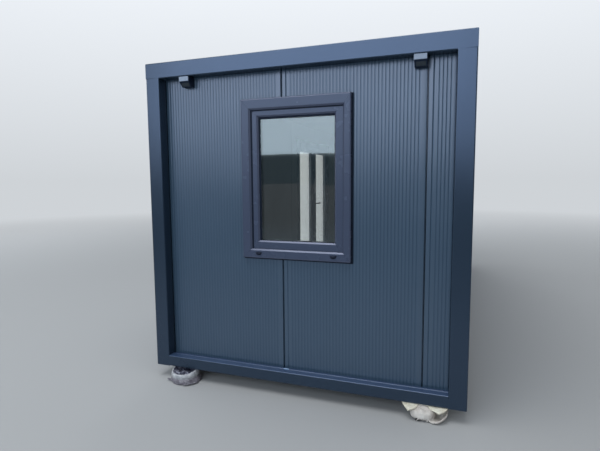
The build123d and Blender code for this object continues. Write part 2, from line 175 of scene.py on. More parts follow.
def make_piece(name, points, faces, coats, body, crease, coat_of_face=None):
    """Mesh object with its materials and the body it rides on.

    Edges that bend by more than the crease, in degrees, stay sharp.
    """
    mesh = bpy.data.meshes.new(name)
    mesh.from_pydata(points, [], faces)
    for coat in coats:
        mesh.materials.append(coat)
    if coat_of_face is not None:
        mesh.polygons.foreach_set("material_index", coat_of_face)
    tidy = bmesh.new()
    tidy.from_mesh(mesh)
    bmesh.ops.recalc_face_normals(tidy, faces=tidy.faces)
    tidy.to_mesh(mesh)
    tidy.free()
    mesh.shade_smooth()
    mesh.set_sharp_from_angle(angle=math.radians(crease))
    piece = bpy.data.objects.new(name, mesh)
    scene.collection.objects.link(piece)
    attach(piece, body)
    return piece


film_grain = (26.0, 90.0, 260.0)
pad_film = grained_coat(
    "pad_film", film_grain, ("Cloud", (0.31, 0.32, 0.35), (0.54, 0.55, 0.575)),
    ("Speck", 0.18, 0.32), ("Speck", 0.004),
)
# The hollow top takes a darker copy of the film with light streaks: painted shade of the hollow and
# painted highlights on its folds.
film_hollow_shade_and_glints = grained_coat(
    "film_hollow_shade_and_glints", film_grain, ("Cloud", (0.050, 0.055, 0.095), (0.32, 0.33, 0.42)),
    ("Speck", 0.12, 0.22), ("Speck", 0.010), (0.46, 0.62),
)
# A darker copy of the film for the foot below the waist and the ears: painted shade.
film_foot_shade = grained_coat(
    "film_foot_shade", film_grain, ("Cloud", (0.125, 0.115, 0.14), (0.21, 0.20, 0.235)),
    ("Speck", 0.22, 0.36), ("Speck", 0.004),
)

film_pad_height, film_pad_shift = 0.100, (-0.014, -0.008)
film_foot, film_waist, film_rim_inside = 0.010, 0.040, 0.103
film_fold, film_gathers, film_sag = 0.026, 19, 0.016
film_ear_turn, film_ear_spread, film_ear_reach = 209, 9, 0.040
film_skirt_turns, film_skirt_reach = (287, 352), 0.023
film_pad_section = (
    (0.000, 0.000), (0.090, 0.000), (0.113, 0.000), (0.120, 0.003), (0.120, 0.010),
    (0.116, 0.022), (0.112, 0.032), (0.107, 0.039), (0.104, 0.044), (0.107, 0.052),
    (0.109, 0.063), (0.109, 0.076), (0.107, 0.089), (0.102, 0.0965), (0.097, 0.095),
    (0.091, 0.084), (0.084, 0.070), (0.072, 0.058), (0.048, 0.052), (0.024, 0.053),
    (0.000, 0.056),
)


def along_section(section, spacing):
    """Points along a section no further apart than the spacing."""
    points = [section[0]]
    for (r0, z0), (r1, z1) in zip(section, section[1:]):
        steps = max(1, math.ceil(math.hypot(r1 - r0, z1 - z0) / spacing))
        for step in range(1, steps + 1):
            share = step / steps
            points.append((r0 + (r1 - r0) * share, z0 + (z1 - z0) * share))
    return points


def crumple(place, size, seed):
    """Height from -1 to 1 of sharp folds of about the given size."""
    p = Vector(place) / size + Vector((seed, seed * 1.7, -seed))
    first = 1.0 - 2.6 * abs(noise.noise(p))
    second = 1.0 - 2.6 * abs(noise.noise(p * 2.3 + Vector((7.1, 3.3, 1.9))))
    return 0.65 * first + 0.35 * second


def ramp_of(value, low, high):
    """Share of the way from low to high, from 0 to 1."""
    return max(0.0, min(1.0, (value - low) / (high - low)))


def film_pad(name, node, mirrored):
    """Lathed pad with folds, a hollow top and ears of film round its foot."""
    low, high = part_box(node)
    middle = Vector(((low[0] + high[0]) / 2, (low[1] + high[1]) / 2, 0))
    segments = 132
    rings = along_section(film_pad_section, 0.0048)[1:-1]
    points = []
    skirt_start, skirt_end = film_skirt_turns
    for index in range(segments):
        turn = 360 * index / segments
        angle = math.radians(turn)
        x, y = math.cos(angle), math.sin(angle)
        ear = math.exp(-(((turn - film_ear_turn) / film_ear_spread) ** 2)) * film_ear_reach
        if skirt_start < turn < skirt_end:
            ear += film_skirt_reach * min(1.0, (turn - skirt_start) / 6, (skirt_end - turn) / 14)
        gather = math.sin(angle * film_gathers + 4 * noise.noise(Vector((x * 2, y * 2, 0.4))))
        for r, z in rings:
            foot = ramp_of(film_foot - z, 0.0, 0.008) if r > 0.112 else 0.0
            fold = crumple((x * r, y * r, z), film_fold, 4.2)
            hollow = ramp_of(film_rim_inside - r, 0.0, 0.012) if z > film_waist else 0.0
            side = ramp_of(r, 0.100, 0.106) * ramp_of(z, film_foot, 0.030)
            base = ramp_of(film_waist - z, 0.0, 0.010) * ramp_of(z, 0.002, film_foot)
            out = r + (0.0026 * side + 0.004 * base) * fold + foot * ear
            out += base * 0.0016 * gather + hollow * 0.003 * gather
            up = z + hollow * (0.009 * fold + 0.004 * gather)
            up += foot * ear * (0.42 + 0.12 * fold)
            up -= film_sag * ramp_of(z, 0.045, 0.085) * ramp_of(-y * r, 0.0, 0.07)
            shift = 0.35 + 0.65 * ramp_of(z, film_foot, 0.044)
            up = min(max(up, 0.0), film_pad_height - 0.0005)
            points.append(
                (x * out + shift * film_pad_shift[0], y * out + shift * film_pad_shift[1], up)
            )
    count = len(rings)
    hidden = len(points)
    points += [(0, 0, 0), (*film_pad_shift, film_pad_section[-1][1])]
    faces, coats = [], []
    for index in range(segments):
        here, there = index * count, ((index + 1) % segments) * count
        for ring in range(count - 1):
            faces.append((here + ring, there + ring, there + ring + 1, here + ring + 1))
            r, z = rings[ring]
            # Faces in the hollow take the film with painted shade and painted highlights.
            in_shaded_hollow = z > film_waist and r < 0.096
            # Faces below the waist and the bottom cap take the darker foot film, painted shade.
            coats.append(1 if in_shaded_hollow else 2 if z < film_waist + 0.001 else 0)
        faces += [(here, hidden, there), (here + count - 1, there + count - 1, hidden + 1)]
        coats += [2, 1]
    way = -1 if mirrored else 1
    points = [(middle.x + x, middle.y + way * y, z) for x, y, z in points]
    pad = make_piece(
        name, points, faces, [pad_film, film_hollow_shade_and_glints, film_foot_shade], "container", 180, coats
    )
    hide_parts(node)


film_pad("film_pad_front", "foot_pad_front_left", False)
film_pad("film_pad_back", "foot_pad_back_left", True)

# Foam foot pads
# A wad of off-white packing foam is squeezed under the right corner of each end: a lump on a
# curled tray of sheet foam, with a second sheet on top whose corners stick out from under the rail.
foam_grain = (14.0, 120.0, 420.0)
pad_foam = grained_coat(
    "pad_foam", foam_grain, ("Cloud", (0.50, 0.455, 0.42), (0.70, 0.665, 0.63)), 0.8,
    ("Speck", 0.0035),
)
# A near-black copy of the foam for the faces inside the nicks: painted shade of the pits.
foam_nick_shade = grained_coat(
    "foam_nick_shade", foam_grain, ("Speck", (0.010, 0.009, 0.008), (0.026, 0.022, 0.020)), 0.9
)
foam_sheet = grained_coat(
    "foam_sheet", (18.0, 120.0, 420.0), ("Cloud", (0.60, 0.55, 0.43), (0.80, 0.77, 0.66)), 0.7,
    ("Speck", 0.0025),
)
tray_middle, tray_reach = (0.073, 0.064), (0.074, 0.080)
tray_thickness, tray_curl = 0.010, 0.070
lump_middle, lump_half, wad_top = (-0.018, 0.118, 0.045), (0.086, 0.128, 0.045), 0.0985
sheet_foot, sheet_thickness, sheet_droop, sheet_top = 0.0880, 0.0105, 0.014, 0.0993
nicks = ((-0.050, 0.013, 0.017), (-0.012, 0.006, 0.009), (0.020, 0.006, 0.011))
nick_reach, nick_depth, nick_shade_share = 0.04, 0.024, 0.72


def remeshed(piece, voxel, rounds):
    """Closes a piece into one even skin and smooths it."""
    remesh = piece.modifiers.new("even_skin", "REMESH")
    remesh.mode = "VOXEL"
    remesh.voxel_size = voxel
    smooth = piece.modifiers.new("soften", "SMOOTH")
    smooth.iterations = rounds
    bpy.context.view_layer.update()
    shown = piece.evaluated_get(bpy.context.evaluated_depsgraph_get())
    mesh = bpy.data.meshes.new_from_object(shown)
    old = piece.data
    piece.modifiers.clear()
    piece.data = mesh
    bpy.data.meshes.remove(old)
    mesh.shade_smooth()
    return mesh


def rounded_lump(middle, half, power=3.2, segments=40):
    """Points and faces of a rounded block."""
    points, faces = [], []

    def bent(value):
        return math.copysign(abs(value) ** (2 / power), value)

    for row in range(segments // 2 + 1):
        rise = -math.pi / 2 + math.pi * row / (segments // 2)
        for column in range(segments):
            turn = 2 * math.pi * column / segments
            points.append((
                middle[0] + half[0] * bent(math.cos(rise)) * bent(math.cos(turn)),
                middle[1] + half[1] * bent(math.cos(rise)) * bent(math.sin(turn)),
                middle[2] + half[2] * bent(math.sin(rise)),
            ))
    for row in range(segments // 2):
        for column in range(segments):
            following = (column + 1) % segments
            here, above = row * segments, (row + 1) * segments
            faces.append((here + column, here + following, above + following, above + column))
    return points, faces


def prism_faces(base, size):
    """Sides and ends of a prism whose two outlines follow each other in the points."""
    sides = []
    for index in range(size):
        following = (index + 1) % size
        sides.append((
            base + index, base + following, base + size + following, base + size + index,
        ))
    start = [base + index for index in range(size)]
    end = [base + size + index for index in reversed(range(size))]
    return sides + [start, end]


def foam_wad(end_name, node, mirrored):
    """Lump and curled tray as one skin, and the sheet over them as another."""
    low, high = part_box(node)
    way = -1 if mirrored else 1
    middle_x = (low[0] + high[0]) / 2
    front_edge = low[1] if not mirrored else -high[1]
    points, faces = rounded_lump(lump_middle, lump_half)
    segments, rings = 60, 10
    base = len(points)
    for side in (0, 1):
        for index in range(segments):
            turn = 2 * math.pi * index / segments
            for ring in range(rings):
                share = (ring + 1) / rings
                curl = 0.42 + 0.58 * math.cos(turn - 0.45)
                rise = 0.001 + tray_curl * share ** 4 * max(0.08, curl)
                points.append((
                    tray_middle[0] + tray_reach[0] * share * math.cos(turn),
                    tray_middle[1] + tray_reach[1] * share * math.sin(turn),
                    rise + side * tray_thickness,
                ))
    layer = segments * rings
    for index in range(segments):
        here, there = base + index * rings, base + ((index + 1) % segments) * rings
        for ring in range(rings - 1):
            faces.append((here + ring, here + ring + 1, there + ring + 1, there + ring))
            faces.append((
                layer + here + ring, layer + there + ring,
                layer + there + ring + 1, layer + here + ring + 1,
            ))
        faces.append((here + rings - 1, layer + here + rings - 1,
                      layer + there + rings - 1, there + rings - 1))
    faces.append([base + index * rings for index in range(segments)])
    faces.append([base + layer + index * rings for index in reversed(range(segments))])
    placed = [(middle_x + x, way * (front_edge + y), z) for x, y, z in points]
    wad = make_piece(
        f"foam_wad_{end_name}", placed, faces, [pad_foam, foam_nick_shade], "container", 180
    )
    mesh = remeshed(wad, 0.0050, 2)

    def on_pad(place):
        return place.x - middle_x, way * place.y - front_edge, place.z

    def nick_shares(x, z):
        return [math.hypot(x - nick_x, (z - nick_z) * 1.6) / size for nick_x, nick_z, size in nicks]

    for vertex in mesh.vertices:
        x, y, z = on_pad(vertex.co)
        fold = crumple((x, y, z), 0.055, 2.4)
        soft = noise.noise(Vector((x, y, z)) * 26)
        push = (0.004 + 0.004 * ramp_of(z, 0.070, 0.085)) * fold + 0.003 * soft
        for far in nick_shares(x, z):
            if far < 1 and y < nick_reach:
                push -= nick_depth * (1 - far * far)
        moved = vertex.co + vertex.normal * push
        vertex.co = (moved.x, moved.y, min(max(moved.z, 0.0), wad_top))
    # Faces deep in a nick take the near-black foam as painted shade.
    for polygon in mesh.polygons:
        x, y, z = on_pad(polygon.center)
        inside = min(nick_shares(x, z)) < nick_shade_share
        polygon.material_index = 1 if inside and y < nick_reach else 0
    mesh.update()
    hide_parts(node)

    outline = (
        (-0.160, 0.056), (-0.138, 0.014), (-0.110, -0.024), (-0.086, -0.010), (-0.062, 0.012),
        (-0.044, 0.052), (0.012, 0.056), (0.032, 0.020), (0.062, 0.002), (0.094, -0.014),
        (0.118, 0.006), (0.140, 0.036), (0.150, 0.080), (0.140, 0.225), (-0.130, 0.225),
    )
    points = []
    for side in (0, 1):
        for x, y in outline:
            droop = sheet_droop * ramp_of(0.040 - y, 0.0, 0.055)
            level = sheet_foot + sheet_thickness * side - droop
            points.append((middle_x + x, way * (front_edge + y), level))
    sheet = make_piece(
        f"foam_sheet_{end_name}", points, prism_faces(0, len(outline)), [foam_sheet], "container",
        180,
    )
    mesh = remeshed(sheet, 0.0034, 3)
    for vertex in mesh.vertices:
        lift = 0.0028 * noise.noise(vertex.co * 34 + Vector((0, 0, 5)))
        vertex.co.z = min(vertex.co.z + lift, sheet_top)
    mesh.update()


foam_wad("front", "foot_pad_front_right", False)
foam_wad("back", "foot_pad_back_right", True)

# Steel frame
# Corner posts and rails are folded from steel strip, welded into a box and sprayed with a
# semi-gloss anthracite paint. The roof rails are mitred and run over the posts.
def rounded(piece, width, segments, angle):
    """Rounds the edges of a piece that bend by more than the angle, in degrees."""
    bevel = piece.modifiers.new("rounding", "BEVEL")
    bevel.width = width
    bevel.segments = segments
    bevel.limit_method = "ANGLE"
    bevel.angle_limit = math.radians(angle)


def dress(label, material, rounding=0.0):
    """Gives a piece of the construction its material, and rounds its edges by a size if given."""
    piece = nodes[label]
    piece.data.materials.clear()
    piece.data.materials.append(material)
    if rounding:
        rounded(piece, rounding, 2, 35)


def painted_coat(name, light, dark, gloss, peel=0.000008, wave=0.003, shine=0.5, cast=(1, 1, 1)):
    """Sprayed paint: slow colour drift, faint dust, orange peel and the waviness of thin sheet.

    The shine is the strength of its reflection and the cast is the colour of it.
    """
    material, tree, shader = new_material(name)
    grain = add_grain(tree, 1.3, 6.0, 420.0)
    tree.links.new(
        colour_between(tree, grain.outputs["Cloud"], dark, light), shader.inputs["Base Color"]
    )
    tree.links.new(
        value_between(tree, grain.outputs["Speck"], gloss - 0.006, gloss + 0.008, 0.3, 0.7),
        shader.inputs["Roughness"],
    )
    shader.inputs["Specular IOR Level"].default_value = shine
    shader.inputs["Specular Tint"].default_value = (*cast, 1.0)
    slow = add_bump(tree, shader, grain.outputs["Wave"], wave)
    add_bump(tree, shader, grain.outputs["Fine"], peel, under=slow)
    return material


frame_coat = painted_coat(
    "frame_coat", (0.0135, 0.0245, 0.0370), (0.0120, 0.0220, 0.0335), 0.26, wave=0.004, shine=1.0,
    cast=(0.48, 0.62, 0.97),
)
for wall in ("front", "back", "left", "right"):
    dress(f"roof_rail_{wall}", frame_coat)
    dress(f"bottom_rail_{wall}", frame_coat)
for corner in ("front_left", "front_right", "back_left", "back_right"):
    dress(f"corner_post_{corner}", frame_coat)

# Frame welds
# Where rails meet posts the rounded edges of the strip leave a groove, which is filled with weld
# metal, ground flush and painted over.
post_face, post_depth, strip_radius = 0.120, 0.150, 0.008
frame_half_width, frame_half_length = 1.219, 3.029
frame_foot, rail_top, post_top = 0.100, 0.180, 2.418


def weld_fill(name, outlines, low, high):
    """Upright prisms between two levels, one for each closed outline in plan."""
    points, faces = [], []
    for outline in outlines:
        faces += prism_faces(len(points), len(outline))
        points += [(x, y, level) for level in (low, high) for x, y in outline]
    make_piece(name, points, faces, [frame_coat], "container", 20)


def arc(middle, radius, turns):
    """Points of a circle at the given turns, in degrees."""
    bends = [math.radians(turn) for turn in turns]
    return [(middle[0] + radius * math.cos(bend), middle[1] + radius * math.sin(bend))
            for bend in bends]


top_weld_thickness, foot_weld_thickness = 0.009, 0.010
inner_x, inner_y = frame_half_width - post_face, frame_half_length - post_depth
corner_x, corner_y = frame_half_width - strip_radius, frame_half_length - strip_radius
ring_weld = [(inner_x, frame_half_length)]
ring_weld += arc((corner_x, corner_y), strip_radius, range(90, -1, -15))
back_x, back_y = frame_half_width - top_weld_thickness, frame_half_length - top_weld_thickness
ring_weld += [(frame_half_width, inner_y), (back_x, inner_y), (back_x, back_y), (inner_x, back_y)]
near_x, far_x = inner_x, inner_x + strip_radius
near_y, far_y = inner_y, inner_y + strip_radius
back_x, back_y = frame_half_width - foot_weld_thickness, frame_half_length - foot_weld_thickness
rail_welds = (
    ((near_x, frame_half_length), (far_x, frame_half_length), (far_x, back_y), (near_x, back_y)),
    ((frame_half_width, near_y), (frame_half_width, far_y), (back_x, far_y), (back_x, near_y)),
)
top_welds, foot_welds = [], []
for way_x in (-1, 1):
    for way_y in (-1, 1):
        top_welds.append([(way_x * x, way_y * y) for x, y in ring_weld])
        foot_welds += [[(way_x * x, way_y * y) for x, y in weld] for weld in rail_welds]
weld_fill("frame_top_welds", top_welds, post_top, post_top + strip_radius)
weld_fill("frame_foot_welds", foot_welds, frame_foot, rail_top - strip_radius)

# Floor
# Galvanised cross beams are welded between the bottom rails. They carry a deck of boards, which
# is screwed down and has a grey sheet covering on top.
zinc = grained_coat(
    "zinc", (3.0, 28.0, 300.0), ("Speck", (0.27, 0.28, 0.29), (0.33, 0.34, 0.35)),
    ("Cloud", 0.42, 0.50), metal=0.6,
)
dress("floor_beams", zinc)
deck_board = grained_coat(
    "deck_board", (5.0, 70.0, 700.0), ("Speck", (0.17, 0.165, 0.16), (0.25, 0.24, 0.23)),
    ("Cloud", 0.35, 0.5), ("Fine", 0.0001),
)
dress("floor_deck", deck_board)

# Wall panels
# Foam-cored panels with thin steel skins stand side by side behind the frame. The outer skin is
# rolled with shallow ribs, the inner one is flat and white, and the panels meet in a dark slot
# with a strip of black tape at its bottom.
panel_coat = painted_coat(
    "panel_coat", (0.038, 0.070, 0.108), (0.034, 0.064, 0.101), 0.29, wave=0.003, shine=1.0,
    cast=(0.76, 0.80, 1.0),
)
# A darker copy of the panel paint for the faces down in the rib grooves: painted shade.
groove_shade_coat = painted_coat(
    "groove_shade_coat", (0.034, 0.063, 0.100), (0.030, 0.058, 0.093), 0.30, wave=0.003, shine=0.86,
    cast=(0.70, 0.775, 1.0),
)
inner_skin = grained_coat(
    "inner_skin", (2.0, 80.0, 600.0), ("Cloud", (0.64, 0.65, 0.645), (0.70, 0.71, 0.705)), 0.42,
    ("Cloud", 0.0003),
)
seal_rubber = grained_coat(
    "seal_rubber", (20.0, 160.0, 900.0), ("Speck", (0.003, 0.005, 0.010), (0.006, 0.008, 0.015)),
    0.55, level=0.25, cast=(0.50, 0.65, 1.0),
)

wall_sides = {
    "front": (Vector((1, 0, 0)), Vector((0, -1, 0)), frame_half_length),
    "back": (Vector((-1, 0, 0)), Vector((0, 1, 0)), frame_half_length),
    "left": (Vector((0, -1, 0)), Vector((-1, 0, 0)), frame_half_width),
    "right": (Vector((0, 1, 0)), Vector((1, 0, 0)), frame_half_width),
}
panel_cover, panel_face_depth, wall_inside_depth = 1.030, 0.090, 0.150
joint_gap, joint_ledge, joint_ledge_depth, joint_rounding = 0.0045, 0.0034, 0.016, 0.0025
rib_edge_flat, rib_pitch, rib_width, rib_depth = 0.036, 0.0245, 0.0140, 0.0021
edge_rib_width, edge_rib_depth = 0.0100, 0.0032
# How far a face must sink into a rib to take the painted shade of the grooves.
groove_shade_sinks = (0.0003, 0.004)
window_cut = (-0.4125, 0.4125, 1.052, 2.209)
wall_foot, wall_head = rail_top, post_top
front_low, front_high = -1.099, 1.099
front_joint = -0.108
far_joint = front_joint + panel_cover
side_low, side_high = -2.879, 2.879
door_low, door_high, door_head = -1.651, -0.011, 2.200


def wall_point(wall, along, depth, level):
    """Point of a wall: along to the right seen from outside, in from the frame's face, and up."""
    right, out, face = wall_sides[wall]
    point = right * along + out * (face - depth)
    return (point.x, point.y, level)


def panel_section(start, low, high, cover):
    """Outer skin of one panel from its left to its right edge, as (along, depth)."""
    near = max(low, start + joint_gap / 2)
    far = min(high, start + cover - joint_gap / 2)
    edge = [(0.0, joint_ledge_depth), (joint_ledge, joint_ledge_depth)]
    edge += arc(
        (joint_ledge + joint_rounding, joint_rounding), joint_rounding, (182, 210, 240, 270)
    )
    skin = [(near + along, panel_face_depth + sink) for along, sink in edge]
    groove, step = start + rib_edge_flat, rib_edge_flat
    while groove < start + cover - rib_edge_flat:
        first = step == rib_edge_flat
        wide, deep = (edge_rib_width, edge_rib_depth) if first else (rib_width, rib_depth)
        if near + rib_width < groove < far - rib_width:
            for share in (-1.2, -1.0, -0.5, 0.0, 0.5, 1.0, 1.2):
                sink = deep * 0.5 * (1 + math.cos(math.pi * max(-1.0, min(1.0, share))))
                skin.append((groove + share * wide / 2, panel_face_depth + sink))
        groove += step
        step = rib_pitch
    skin += [(far - along, panel_face_depth + sink) for along, sink in reversed(edge)]
    return skin


def add_panel(points, faces, coats, wall, skin, foot, head, cut):
    """One closed panel, with the part inside the cut left open."""
    marks = sorted({along for along, _ in skin} | set(cut[:2] if cut else ()))
    marks = [along for along in marks if skin[0][0] <= along <= skin[-1][0]]
    levels = sorted({foot, head} | set(cut[2:] if cut else ()))
    cells = []
    for column in range(len(marks) - 1):
        along = (marks[column] + marks[column + 1]) / 2
        for row in range(len(levels) - 1):
            level = (levels[row] + levels[row + 1]) / 2
            if not (cut and cut[0] < along < cut[1] and cut[2] < level < cut[3]):
                cells.append((column, row))
    solid = set(cells)

    def depth_at(along):
        for (s0, d0), (s1, d1) in zip(skin, skin[1:]):
            if s0 <= along <= s1:
                return d0 if s1 == s0 else d0 + (d1 - d0) * (along - s0) / (s1 - s0)
        return skin[-1][1]

    grid = {}

    def corner(column, row, inner):
        key = (column, row, inner)
        if key not in grid:
            grid[key] = len(points)
            depth = wall_inside_depth if inner else depth_at(marks[column])
            points.append(wall_point(wall, marks[column], depth, levels[row]))
        return grid[key]

    square = ((0, 0), (1, 0), (1, 1), (0, 1))
    for column, row in cells:
        outer, inner = [
            [corner(column + right, row + up, side) for right, up in square] for side in (0, 1)
        ]
        faces += [outer, inner[::-1]]
        # Faces sunk into a rib groove take the darker paint as painted shade; the inner skin is
        # white.
        sink = (depth_at(marks[column]) + depth_at(marks[column + 1])) / 2 - panel_face_depth
        coats += [2 if groove_shade_sinks[0] < sink < groove_shade_sinks[1] else 0, 1]
        for other, first, last in (
            ((column - 1, row), 0, 3), ((column + 1, row), 2, 1),
            ((column, row - 1), 1, 0), ((column, row + 1), 3, 2),
        ):
            if other not in solid:
                faces.append([outer[first], outer[last], inner[last], inner[first]])
                coats.append(0)


def panel_row(
    name, node, wall, first_joint, low, high, cut=None, cover=panel_cover, foot=wall_foot
):
    """Row of panels from low to high along a wall, as one piece that stands for a node."""
    points, faces, coats = [], [], []
    start = first_joint
    while start < high - joint_gap:
        if start + cover > low + joint_gap:
            skin = panel_section(start, low, high, cover)
            add_panel(points, faces, coats, wall, skin, foot, wall_head, cut)
        start += cover
    row = make_piece(
        name, points, faces, [panel_coat, inner_skin, groove_shade_coat], "container", 40,
        coats,
    )
    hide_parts(node)


left_cover = max(panel_cover, front_joint - front_low)
panel_row(
    "front_wall_left", "front_panel_left", "front", front_joint - left_cover, front_low,
    front_joint, window_cut, left_cover,
)
panel_row(
    "front_wall_middle", "front_panel_middle", "front", front_joint, front_joint, far_joint,
    window_cut,
)
panel_row("front_wall_right", "front_panel_right", "front", far_joint, far_joint, front_high)
panel_row("back_wall", "back_panels", "back", front_low, front_low, front_high)
panel_row("right_wall", "right_panels", "right", side_low, side_low, side_high)
panel_row("left_wall_back", "left_panels_back", "left", side_low, side_low, door_low)
panel_row("left_wall_front", "left_panels_front", "left", side_low, door_high, side_high)
panel_row(
    "left_wall_over_door", "left_panels_over_door", "left", side_low, door_low, door_high,
    foot=door_head,
)

joint_places = [
    ("front", front_joint, wall_foot, window_cut[2]),
    ("front", front_joint, window_cut[3], wall_head), ("front", far_joint, wall_foot, wall_head),
]
for wall, low, counts in (
    ("back", front_low, (1, 2)), ("right", side_low, range(1, 6)), ("left", side_low, range(1, 6)),
):
    for count in counts:
        place = low + panel_cover * count
        over_door = wall == "left" and door_low < place < door_high
        joint_places.append((wall, place, door_head if over_door else wall_foot, wall_head))
tape_half, tape_front, tape_back = joint_gap / 2 + 0.0003, 0.1360, 0.1495
points, faces = [], []
for wall, place, low, high in joint_places:
    faces += prism_faces(len(points), 4)
    for level in (low, high):
        for way, depth in ((-1, tape_front), (1, tape_front), (1, tape_back), (-1, tape_back)):
            points.append(wall_point(wall, place + way * tape_half, depth, level))
make_piece("panel_joint_tapes", points, faces, [seal_rubber], "container", 30)

# Wall foot flashings
# A folded sill of coated steel lies on the bottom rail along the foot of every wall. It has a lip
# over the rail's edge, a turned-up bead, a gutter against the panels and a dab of sealant.
# The sill takes a lighter, bluer copy of the panel paint: painted reflection of the sky on its top.
sill_reflection_coat = painted_coat(
    "sill_reflection_coat", (0.036, 0.062, 0.122), (0.031, 0.055, 0.110), 0.22, wave=0.002, shine=0.9,
    cast=(0.72, 0.80, 1.0),
)
sill_back, sill_bead, sill_level = panel_face_depth, 0.0580, 0.1875
sill_lip_foot, sill_edge_radius, sill_fold_radius = 0.1705, 0.0045, 0.0026
lip_front, lip_back, lip_faces = -0.0002, 0.0095, 5
sill_section = [
    (sill_back, wall_foot), (lip_back, wall_foot), (lip_back, sill_lip_foot),
    (lip_front, sill_lip_foot),
]
sill_section += arc(
    (lip_front + sill_edge_radius, sill_level - sill_edge_radius), sill_edge_radius,
    (180, 158, 135, 112, 90),
)
sill_section += arc(
    (sill_bead - sill_fold_radius, sill_level + 0.0002 + sill_fold_radius), sill_fold_radius,
    range(-90, 1, 18),
)
sill_section += [
    (sill_bead + 0.0006, 0.1907), (sill_bead + 0.0012, 0.1903), (sill_bead + 0.0016, 0.1812),
    (sill_back - 0.0015, 0.1812), (sill_back - 0.0008, 0.1860), (sill_back, 0.1860),
]
size = len(sill_section)
points, faces, coats = [], [], []
for wall, low, high in (
    ("front", front_low, front_high), ("back", front_low, front_high),
    ("right", side_low, side_high), ("left", side_low, door_low), ("left", door_high, side_high),
):
    faces += prism_faces(len(points), size)
    # The lip's faces take the frame's paint, the rest the copy with the painted reflection.
    coats += [1 if index < lip_faces else 0 for index in range(size)] + [0, 0]
    for along in (low, high):
        points += [wall_point(wall, along, depth, level) for depth, level in sill_section]
sills = make_piece(
    "wall_foot_sills", points, faces, [sill_reflection_coat, frame_coat], "container", 40,
    coats,
)
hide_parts("wall_foot_flashings")
# The dab is coloured pale blue as a painted highlight on it.
sealant_highlight_coat = grained_coat(
    "sealant_highlight_coat", (30.0, 160.0, 900.0), ("Speck", (0.16, 0.26, 0.42), (0.26, 0.38, 0.55)), 0.3
)
dab_points, dab_faces = rounded_lump(
    wall_point("front", front_joint + 0.028, sill_bead, 0.1895), (0.023, 0.0065, 0.0050), 2.6, 24
)
dab_points = [
    (
        x, y + 0.0012 * noise.noise(Vector((x, y, z)) * 140),
        z + 0.0012 * noise.noise(Vector((z, x, y)) * 120),
    )
    for x, y, z in dab_points
]
make_piece("joint_sealant", dab_points, dab_faces, [sealant_highlight_coat], "container", 180)

# Window
# One plastic window in dark foil: a frame of welded bars that laps over the panels, a sash that
# closes behind its lip on a black seal, and a double glazed unit held by black seals. Where the
# black seals show wider than real ones, at the left and top of the sash and the pane and beside
# and under the frame, they are painted shade.
foil_tones = (0.0505, 0.0645, 0.1055), (0.0475, 0.0605, 0.1000)
foil = painted_coat(
    "window_foil", *foil_tones, 0.27, peel=0.000015, wave=0.0, shine=0.45, cast=(0.60, 0.68, 0.90)
)
# A copy of the foil with a stronger, bluer reflection for the rounded edges and slopes of the bars:
# painted highlight.
foil_edge_sheen = painted_coat(
    "foil_edge_sheen", *foil_tones, 0.24, peel=0.000015, wave=0.0, shine=1.0, cast=(0.72, 0.76, 0.98)
)
clear_glass, glass_tree, glass_shader = new_material("clear_glass")
glass_grain = add_grain(glass_tree, 1.1, 40.0, 300.0)
glass_shader.inputs["Base Color"].default_value = (0.976, 0.999, 0.996, 1.0)
glass_shader.inputs["IOR"].default_value = 1.80
glass_shader.inputs["Specular Tint"].default_value = (0.84, 0.94, 1.0, 1.0)
glass_shader.inputs["Transmission Weight"].default_value = 1.0
glass_tree.links.new(
    value_between(glass_tree, glass_grain.outputs["Cloud"], 0.0, 0.004, 0.5, 0.9),
    glass_shader.inputs["Roughness"],
)
add_bump(glass_tree, glass_shader, glass_grain.outputs["Wave"], 0.0006)
door_glass = clear_glass.copy()
door_glass.name = "door_clear_glass"
door_glass.node_tree.nodes["Principled BSDF"].inputs["IOR"].default_value = 1.50
spacer_metal = grained_coat(
    "spacer_metal", (12.0, 200.0, 900.0), ("Speck", (0.42, 0.43, 0.44), (0.55, 0.56, 0.57)), 0.4,
    metal=0.9,
)


def mitred_ring(wall, front, middle, outer, bars, section, gap):
    """Four mitred bars round a rectangle, as closed solids.

    bars holds the face widths of the left, right, bottom and top bar. The section is a closed
    list of (edge, offset, depth), where the offset counts inwards from the outer edge of the
    bar, or outwards from its inner edge, and the depth counts from the front.
    """
    left, right = middle[0] - outer[0] / 2, middle[0] + outer[0] / 2
    bottom, top = middle[1] - outer[1] / 2, middle[1] + outer[1] / 2
    points, faces = [], []

    def inset(bar, edge, offset):
        return offset if edge == "outer" else bars[bar] - offset

    def corner(side, level, edge, offset):
        along = left + inset(0, edge, offset) if side == 0 else right - inset(1, edge, offset)
        height = bottom + inset(2, edge, offset) if level == 2 else top - inset(3, edge, offset)
        return along, height

    for first, last, along_gap, up_gap in (
        ((0, 2), (1, 2), gap, 0), ((0, 3), (1, 3), gap, 0),
        ((0, 2), (0, 3), 0, gap), ((1, 2), (1, 3), 0, gap),
    ):
        faces += prism_faces(len(points), len(section))
        for (side, level), way in ((first, 1), (last, -1)):
            for edge, offset, depth in section:
                along, height = corner(side, level, edge, offset)
                points.append(wall_point(
                    wall, along + way * along_gap, front + depth, height + way * up_gap
                ))
    return points, faces


def ring_piece(
    name, wall, front, middle, outer, bars, section, gap, look, body, crease=50, edges=()
):
    """Mitred ring as one piece. The faces of its section in edges take the second material, which
    for the foil is its copy with a stronger reflection: painted highlight.
    """
    points, faces = mitred_ring(wall, front, middle, outer, bars, section, gap)
    coat_of_face = ([1 if index in edges else 0 for index in range(len(section))] + [0, 0]) * 4
    coats, slot = look
    return make_piece(name, points, faces, coats, body, crease, coat_of_face)


